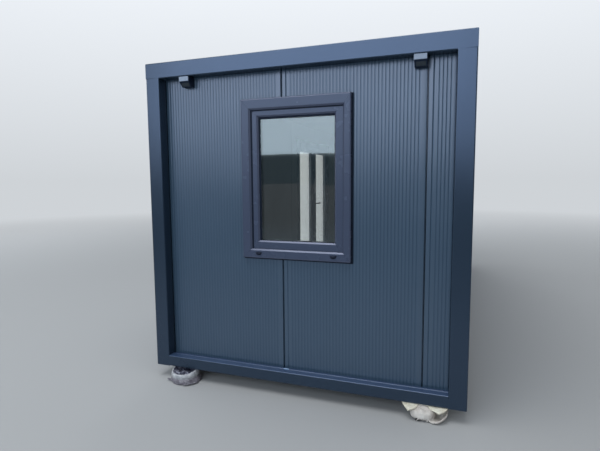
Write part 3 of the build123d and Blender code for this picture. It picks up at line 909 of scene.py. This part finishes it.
foil_and_sheen_look = ([foil, foil_edge_sheen], "window_plastic")
seal_and_shade_look = ([seal_rubber], "black_metal")
window_middle, window_outer = (0.0, 1.6305), (0.855, 1.187)
window_front, frame_trim_for_shade, mitre_gap = 0.060, 0.011, 0.0006
frame_back, frame_inside = panel_face_depth - window_front, wall_inside_depth - window_front
frame_section = (
    ("outer", 0.0000, 0.0064), ("outer", 0.0006, 0.0046), ("outer", 0.0062, 0.0006),
    ("outer", 0.0080, 0.0000), ("inner", 0.0125, 0.0000), ("inner", 0.0112, 0.0006),
    ("inner", 0.0014, 0.0104), ("inner", 0.0002, 0.0120), ("inner", 0.0000, 0.0180),
    ("inner", 0.0120, 0.0180), ("inner", 0.0120, frame_inside), ("outer", 0.0200, frame_inside),
    ("outer", 0.0200, frame_back), ("outer", 0.0000, frame_back),
)
# The frame is trimmed at its right side to bare the black wall seal, which shows there as painted
# shade.
window_bars = ring_piece(
    "window_bars", "front", window_front, (window_middle[0] - frame_trim_for_shade / 2, window_middle[1]),
    (window_outer[0] - frame_trim_for_shade, window_outer[1]), (0.0745, 0.070 - frame_trim_for_shade, 0.070, 0.081),
    frame_section, mitre_gap, foil_and_sheen_look, "container", 18, (0, 1, 2, 4, 5, 6),
)
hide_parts("window_frame")

sash_outer, sash_face, sash_front, sash_depth = (0.735, 1.067), 0.073, 0.078, 0.065
window_pane, pane_depth, pane_gap = (0.605, 0.937), 0.098, 0.024
rebate = pane_depth - sash_front
sash_section = (
    ("outer", 0.0000, 0.0020), ("outer", 0.0020, 0.0000), ("inner", 0.0120, 0.0000),
    ("inner", 0.0106, 0.0006), ("inner", 0.0014, 0.0098), ("inner", 0.0000, 0.0114),
    ("inner", 0.0000, rebate), ("inner", 0.0100, rebate), ("inner", 0.0100, rebate + pane_gap),
    ("inner", 0.0000, rebate + pane_gap), ("inner", 0.0000, sash_depth),
    ("outer", 0.0000, sash_depth),
)
sash_bars = ring_piece(
    "window_sash_bars", "front", sash_front, window_middle, sash_outer, (sash_face,) * 4,
    sash_section, mitre_gap, foil_and_sheen_look, "container", 18, (0, 2, 3, 4),
)
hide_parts("window_sash")


def glazing(name, node, wall, middle, pane, body, glass, seal):
    """Two panes with a metal spacer between them, and the seals at both faces.

    The seal holds how far the front seal reaches over the pane at each bar.
    """
    width, height = pane
    edge, sheet = 0.0012, 0.004
    for side, deep in (("outer", pane_depth), ("inner", pane_depth + pane_gap - sheet)):
        points, faces = [], []
        for inset_by, at in (
            (edge, deep), (0, deep + edge), (0, deep + sheet - edge), (edge, deep + sheet),
        ):
            for a, b in ((-1, -1), (1, -1), (1, 1), (-1, 1)):
                points.append(wall_point(
                    wall, middle[0] + a * (width / 2 - inset_by), at,
                    middle[1] + b * (height / 2 - inset_by),
                ))
        faces += [(0, 1, 2, 3), (15, 14, 13, 12)]
        for layer in (0, 4, 8):
            faces += prism_faces(layer, 4)[:4]
        leaf = make_piece(f"{name}_{side}_pane", points, faces, [glass], body, 20)
        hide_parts(node)
    spacer_section = (
        ("outer", 0.0060, 0.0), ("outer", 0.0115, 0.0), ("outer", 0.0125, 0.002),
        ("outer", 0.0125, 0.014), ("outer", 0.0115, 0.016), ("outer", 0.0060, 0.016),
    )
    ring_piece(
        f"{name}_spacer", wall, pane_depth + sheet, middle, pane, (0.014,) * 4, spacer_section,
        0.0, ([spacer_metal], "bare_aluminium"), body,
    )
    seal_points, seal_faces = [], []
    for front, thick, bars in (
        (pane_depth - 0.0040, 0.0040, seal), (pane_depth + pane_gap, 0.0035, (0.012,) * 4),
    ):
        seal_section = (
            ("outer", 0.0070, 0.0010), ("outer", 0.0090, 0.0), ("inner", 0.0020, 0.0010),
            ("inner", 0.0000, thick), ("outer", 0.0070, thick),
        )
        points, faces = mitred_ring(wall, front, middle, pane, bars, seal_section, 0.0)
        seal_faces += [[index + len(seal_points) for index in face] for face in faces]
        seal_points += points
    make_piece(f"{name}_seals", seal_points, seal_faces, [seal_rubber], body, 50)


# The front seal reaches further over the pane at the left and top bars: partly seal, partly painted
# shade of the glazing reveals.
glazing(
    "window", "window_glass", "front", window_middle, window_pane, "container", clear_glass,
    (0.021, 0.012, 0.0086, 0.023),
)

# A black seal between the frame's lip and the sash, wider at the left and top bars: partly seal,
# partly painted shade of the lip's reveals.
lip_seal_shade_section = (
    ("outer", 0.0060, -0.0030), ("outer", 0.0110, -0.0034), ("inner", 0.0015, -0.0030),
    ("inner", 0.0000, -0.0010), ("inner", 0.0000, 0.0005), ("outer", 0.0060, 0.0005),
)
ring_piece(
    "window_lip_seal_and_shade", "front", sash_front, window_middle, sash_outer,
    (0.0255, 0.0115, 0.0115, 0.0300), lip_seal_shade_section, 0.0, seal_and_shade_look, "container",
)
# A black seal between the frame and the panels, bared at the right and wide under the frame: partly
# seal, partly painted shade of the frame's side and painted shadow under it.
wall_seal_shade_section = (
    ("outer", 0.0000, -0.0012), ("outer", 0.0010, -0.0030), ("inner", 0.0000, -0.0030),
    ("inner", 0.0000, 0.0002), ("outer", 0.0000, 0.0002),
)
ring_piece(
    "window_wall_seal_and_shade", "front", panel_face_depth,
    (window_middle[0] + 0.0010, window_middle[1] - 0.0060),
    (window_outer[0] + 0.0020, window_outer[1] + 0.0110), (0.012, 0.018, 0.024, 0.012),
    wall_seal_shade_section, 0.0, seal_and_shade_look, "container",
)

cap_plastic = grained_coat(
    "cap_plastic", (30.0, 160.0, 900.0), ("Speck", (0.006, 0.008, 0.016), (0.010, 0.013, 0.024)),
    0.45, level=0.3, cast=(0.62, 0.72, 1.0),
)
low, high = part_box("window_drain_caps")
cap_half_width, cap_out, cap_brow, cap_thickness = 0.0240, 0.0125, 0.72, 0.0012
cap_middles = (low[0] + 0.014, high[0] - 0.019)
cap_foot, cap_head = low[2] - 0.0080, high[2] + 0.0060
columns, rows = 16, 6
points, faces = [], []
for middle in cap_middles:
    base = len(points)
    for column in range(columns + 1):
        share = -1 + 2 * column / columns
        swell = math.sqrt(max(0.0, 1 - share * share))
        for row in range(rows + 1):
            rise = row / rows
            if rise < cap_brow:
                lean = math.sin(math.pi * min(1.0, rise / cap_brow) / 2)
            else:
                lean = 1 - ((rise - cap_brow) / (1 - cap_brow)) ** 2
            out = cap_out * (0.25 + 0.75 * swell) * (0.25 + 0.75 * lean) * (rise < 1)
            drop = (cap_head - cap_foot) * (1 - rise) * (0.35 + 0.65 * swell)
            points.append(wall_point(
                "front", middle + share * cap_half_width, window_front - out, cap_head - drop,
            ))
    for column in range(columns):
        here, there = base + column * (rows + 1), base + (column + 1) * (rows + 1)
        for row in range(rows):
            faces.append((here + row, there + row, there + row + 1, here + row + 1))
caps = make_piece("drain_hoods", points, faces, [cap_plastic], "container", 50)
thicken = caps.modifiers.new("wall", "SOLIDIFY")
thicken.thickness = cap_thickness
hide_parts("window_drain_caps")

# Power inlets
# Two small plastic boxes hang under the front roof rail: a pale flat lid at the top, and a dark
# shell with a cover plate that slopes back to the wall. They are screwed up to the rail.
inlet_shell = grained_coat(
    "inlet_shell", (9.0, 90.0, 700.0), ("Speck", (0.004, 0.008, 0.020), (0.007, 0.012, 0.026)),
    0.42, ("Fine", 0.0001), cast=(0.55, 0.72, 1.0),
)
inlet_cover = grained_coat(
    "inlet_cover", (9.0, 90.0, 700.0), ("Speck", (0.011, 0.020, 0.030), (0.015, 0.026, 0.038)),
    0.35,
)
inlet_lid = grained_coat(
    "inlet_lid", (12.0, 90.0, 700.0), ("Cloud", (0.17, 0.215, 0.30), (0.20, 0.25, 0.345)), 0.32
)

inlet_half, inlet_middle = 0.042, 0.877
inlet_top, lid_foot, shell_foot = 2.4178, 2.3830, 2.3450
lid_front, lid_back, shell_front, shell_slope, shell_back = 0.0045, 0.0100, 0.0102, 0.0440, 0.0898


def side_profile_block(name, middle, half, profile, coat, rounding):
    """Block with the same profile of (depth, level) all the way across the front wall."""
    points = [wall_point("front", middle + side * half, depth, level)
              for side in (-1, 1) for depth, level in profile]
    faces = prism_faces(0, len(profile))
    block = make_piece(name, points, faces, [coat], "container", 30)
    rounded(block, rounding, 3, 25)
    return block


for side_name, middle in (("left", -inlet_middle), ("right", inlet_middle)):
    node = f"power_inlet_{side_name}"
    lid = side_profile_block(
        f"{node}_lid", middle, inlet_half - 0.0005,
        ((lid_front, inlet_top), (lid_front, lid_foot), (lid_back, lid_foot - 0.0010),
         (lid_back, inlet_top)), inlet_lid, 0.0016,
    )
    shell = side_profile_block(
        f"{node}_shell", middle + 0.001, inlet_half - 0.0010,
        ((shell_front, inlet_top), (shell_front, lid_foot - 0.0030), (0.0160, lid_foot - 0.0060),
         (shell_slope, shell_foot), (shell_back, shell_foot), (shell_back, inlet_top)),
        inlet_shell, 0.0020,
    )
    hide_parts(node)
    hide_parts(node)
    side_profile_block(
        f"{node}_cover", middle + 0.002, inlet_half - 0.0110,
        ((0.0200, lid_foot - 0.0105), (0.0230, lid_foot - 0.0150), (0.0385, shell_foot + 0.0035),
         (0.0420, shell_foot + 0.0025), (shell_slope, shell_foot + 0.0100),
         (0.0260, lid_foot - 0.0080)),
        inlet_cover, 0.0010,
    )
    for part, way in (("left", -1), ("right", 1)):
        side_profile_block(
            f"{node}_clip_{part}", middle + 0.001 + way * (inlet_half - 0.0050), 0.0028,
            ((0.0150, lid_foot - 0.0040), (0.0190, lid_foot - 0.0130), (0.0270, lid_foot - 0.0180),
             (0.0300, lid_foot - 0.0100)), inlet_shell, 0.0006,
        )

# Door
# A double door of plastic bars in the same foil, glazed like the window, hangs on hinges of black
# metal over an aluminium sill. The lever and the lock plates are of the same black metal.
dress("door_frame", foil, 0.002)
dress("door_leaf_front", foil, 0.0015)
dress("door_leaf_back", foil, 0.0015)
bead_front = 0.0812
bead_depth = pane_depth - 0.0005 - bead_front
bead_section = (
    ("outer", 0.0000, 0.0010), ("outer", 0.0012, 0.0000), ("outer", 0.0040, 0.0000),
    ("outer", 0.0100, 0.0026), ("outer", 0.0128, 0.0078), ("outer", 0.0130, bead_depth),
    ("outer", 0.0000, bead_depth),
)
for label, body in (("door_glass_front", "front_leaf"), ("door_glass_back", "back_leaf")):
    low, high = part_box(label)
    middle = (-(low[1] + high[1]) / 2, (low[2] + high[2]) / 2)
    pane = (high[1] - low[1], high[2] - low[2])
    glazing(label, label, "left", middle, pane, body, door_glass, (0.024,) * 4)
    opening = (pane[0] - 0.0162, pane[1] - 0.0162)
    ring_piece(
        f"{label}_bead", "left", bead_front, middle, opening, (0.013,) * 4, bead_section,
        mitre_gap / 2, foil_and_sheen_look, body, 25, (2, 3),
    )
black_metal = grained_coat(
    "black_metal", (12.0, 130.0, 900.0), ("Speck", (0.010, 0.010, 0.011), (0.018, 0.018, 0.019)),
    ("Speck", 0.32, 0.45), metal=0.6,
)
for label in (
    "door_lever", "door_lock_plates", "hinge_knuckles_frame",
    "hinge_knuckles_front_leaf", "hinge_knuckles_back_leaf",
):
    dress(label, black_metal, 0.0008)
dress("door_threshold", spacer_metal, 0.0015)

# Roof and ceiling
# The roof is a galvanised tray with folded seams inside the roof ring. The ceiling is a white
# panel like the inside of the walls.
dress("roof_sheet", zinc)
dress("ceiling_panel", inner_skin)

# Studio
# A plain pale floor that fades into the pale surround, soft lamps, and darker surroundings low in
# front, which only the gloss of the window and of the front wall shows.
floor_half = 120.0
studio_mesh = bpy.data.meshes.new("studio_floor")
studio_mesh.from_pydata(
    [(-floor_half, -floor_half, 0), (floor_half, -floor_half, 0), (floor_half, floor_half, 0),
     (-floor_half, floor_half, 0)], [], [(0, 1, 2, 3)],
)
studio_floor = bpy.data.objects.new("studio_floor", studio_mesh)
scene.collection.objects.link(studio_floor)
horizon_colour = (0.62, 0.65, 0.68)
zenith_colour = (0.86, 0.90, 0.95)
dusk_colour = (0.03, 0.05, 0.075)


def combined(tree, operation, first, *others):
    """Product or the like of a socket and others, or a number, one after the other."""
    for other in others:
        node = tree.nodes.new("ShaderNodeMath")
        node.operation = operation
        tree.links.new(first, node.inputs[0])
        if isinstance(other, float):
            node.inputs[1].default_value = other
        else:
            tree.links.new(other, node.inputs[1])
        first = node.outputs[0]
    return first


def blend_shaders(tree, factor, first, second, end):
    """Mix of two shaders by a factor, as the surface of the tree's output."""
    node = tree.nodes.new("ShaderNodeMixShader")
    for socket, value in zip(node.inputs, (factor, first.outputs[0], second.outputs[0])):
        tree.links.new(value, socket)
    tree.links.new(node.outputs[0], end.inputs["Surface"])


floor_paint, floor_tree, floor_shader = new_material("studio_floor_paint")
floor_shader.inputs["Roughness"].default_value = 0.85
floor_place = floor_tree.nodes.new("ShaderNodeTexCoord")
floor_length = floor_tree.nodes.new("ShaderNodeVectorMath")
floor_length.operation = "LENGTH"
floor_tree.links.new(floor_place.outputs["Object"], floor_length.inputs[0])
floor_distance = floor_length.outputs["Value"]
floor_split = floor_tree.nodes.new("ShaderNodeSeparateXYZ")
floor_tree.links.new(floor_place.outputs["Object"], floor_split.inputs[0])
floor_path = floor_tree.nodes.new("ShaderNodeLightPath")
clear_ray = floor_path.outputs["Is Transmission Ray"]
floor_mirrored = combined(floor_tree, "MAXIMUM", floor_path.outputs["Is Glossy Ray"], clear_ray)
floor_shade = combined(
    floor_tree, "MULTIPLY", floor_mirrored,
    value_between(floor_tree, floor_split.outputs["Y"], 1.0, 0.0, -9.5, -4.5),
)
floor_tree.links.new(
    colour_between(floor_tree, floor_shade, (0.385, 0.388, 0.395), (0.04, 0.06, 0.08), 0.0, 1.0),
    floor_shader.inputs["Base Color"],
)
floor_seen = combined(floor_tree, "MAXIMUM", floor_path.outputs["Is Camera Ray"], clear_ray)
floor_first = combined(floor_tree, "LESS_THAN", floor_path.outputs["Diffuse Depth"], 0.5)
floor_far = value_between(floor_tree, floor_distance, 0.0, 1.0, 4.5, 20.0)
floor_far.node.interpolation_type = "SMOOTHSTEP"
floor_beyond = combined(
    floor_tree, "MULTIPLY", clear_ray, value_between(floor_tree, floor_distance, 0.0, 1.0, 2.0, 5.0)
)
floor_reach = combined(floor_tree, "MAXIMUM", floor_far, floor_beyond)
floor_fade = combined(floor_tree, "MULTIPLY", floor_seen, floor_first, floor_reach)
floor_level = combined(
    floor_tree, "MULTIPLY", value_between(floor_tree, clear_ray, 1.0, 1.47, 0.0, 1.0),
    value_between(floor_tree, floor_shade, 1.0, 0.20, 0.0, 1.0),
)
floor_haze = floor_tree.nodes.new("ShaderNodeEmission")
floor_haze.inputs["Color"].default_value = (*horizon_colour, 1.0)
floor_tree.links.new(floor_level, floor_haze.inputs["Strength"])
blend_shaders(
    floor_tree, floor_fade, floor_shader, floor_haze, floor_tree.nodes["Material Output"]
)
studio_mesh.materials.append(floor_paint)


def soft_lamp(name, place, target, size, level, colour):
    """Rectangular soft box. The level is how bright its face is, where 1 is white."""
    data = bpy.data.lights.new(name, "AREA")
    data.shape = "RECTANGLE"
    data.size, data.size_y = size
    data.energy = level * math.pi * size[0] * size[1]
    data.color = colour
    lamp = bpy.data.objects.new(name, data)
    scene.collection.objects.link(lamp)
    lamp.location = place
    lamp.rotation_euler = (Vector(target) - Vector(place)).to_track_quat("-Z", "Y").to_euler()
    lamp.visible_camera = False
    lamp.visible_transmission = False
    return lamp


soft_lamp("front_lamp", (-3.35, -14.0, 5.75), (-3.35, 0, 3.85), (12.7, 6.6), 3.0, (0.80, 0.91, 1.0))
soft_lamp("top_lamp", (-1.0, -5.0, 9.5), (0, -1.0, 0), (6.4, 6.4), 4.1, (0.95, 0.985, 1.0))
soft_lamp("right_lamp", (13.0, 6.5, 6.5), (0, 2.5, 1.2), (11.0, 6.5), 2.5, (0.88, 0.95, 1.0))
soft_lamp("back_lamp", (-2.0, 14.0, 6.5), (0, 2, 1.2), (11.0, 6.5), 2.6, (0.88, 0.95, 1.0))
soft_lamp("left_lamp", (-13.0, 2.0, 6.5), (0, 1, 1.2), (11.0, 6.5), 2.4, (0.88, 0.95, 1.0))

bounce = soft_lamp(
    "ground_bounce", (0.5, -6.5, 0.02), (0.5, -6.5, 5.0), (14.0, 6.5), 0.20, (0.82, 0.92, 1.0)
)
bounce.visible_glossy = False

world = bpy.data.worlds.new("surround")
scene.world = world
world.use_nodes = True
sky = world.node_tree
sky.nodes.clear()


def blended(factor, first, second):
    """Mix of two colours of the surround by a factor, each a socket or a plain colour."""
    node = sky.nodes.new("ShaderNodeMix")
    node.data_type = "RGBA"
    sky.links.new(factor, node.inputs["Factor"])
    for index, colour in ((6, first), (7, second)):
        if isinstance(colour, tuple):
            node.inputs[index].default_value = (*colour, 1.0)
        else:
            sky.links.new(colour, node.inputs[index])
    return node.outputs[2]


sky_out = sky.nodes.new("ShaderNodeOutputWorld")
path = sky.nodes.new("ShaderNodeLightPath")
glossy_ray = path.outputs["Is Glossy Ray"]
fill_light = sky.nodes.new("ShaderNodeBackground")
fill_light.inputs["Color"].default_value = (0.92, 0.96, 1.0, 1.0)
fill_light.inputs["Strength"].default_value = 0.26
direction = sky.nodes.new("ShaderNodeTexCoord")
split = sky.nodes.new("ShaderNodeSeparateXYZ")
sky.links.new(direction.outputs["Generated"], split.inputs[0])
sky_x, sky_y, sky_z = split.outputs
pale = colour_between(sky, sky_z, horizon_colour, zenith_colour, 0.0, 0.36)
to_side = value_between(sky, sky_x, 0.0, 0.42, -0.15, 0.55)
shade_height = combined(sky, "SUBTRACT", sky_z, to_side)
shaded = colour_between(sky, shade_height, dusk_colour, zenith_colour, 0.05, 0.33)
to_front = value_between(sky, sky_y, 1.0, 0.0, -0.7, -0.2)
to_right = value_between(sky, sky_x, 0.0, 1.0, -0.55, -0.44)
in_gloss = combined(sky, "MULTIPLY", to_front, to_right, glossy_ray)
tone = blended(in_gloss, pale, shaded)
first_sight = combined(sky, "LESS_THAN", path.outputs["Diffuse Depth"], 0.5)
through = combined(sky, "MULTIPLY", path.outputs["Is Transmission Ray"], first_sight)
seen_rays = combined(sky, "MAXIMUM", glossy_ray, through, path.outputs["Is Camera Ray"])
roofline = colour_between(sky, sky_z, (0.105, 0.135, 0.150), (0.80, 0.91, 1.0), 0.048, 0.060)
behind = blended(to_front, (0.95, 0.98, 1.0), roofline)
backdrop = sky.nodes.new("ShaderNodeBackground")
sky.links.new(blended(through, tone, behind), backdrop.inputs["Color"])
blend_shaders(sky, seen_rays, fill_light, backdrop, sky_out)

scene.view_settings.view_transform = "Standard"
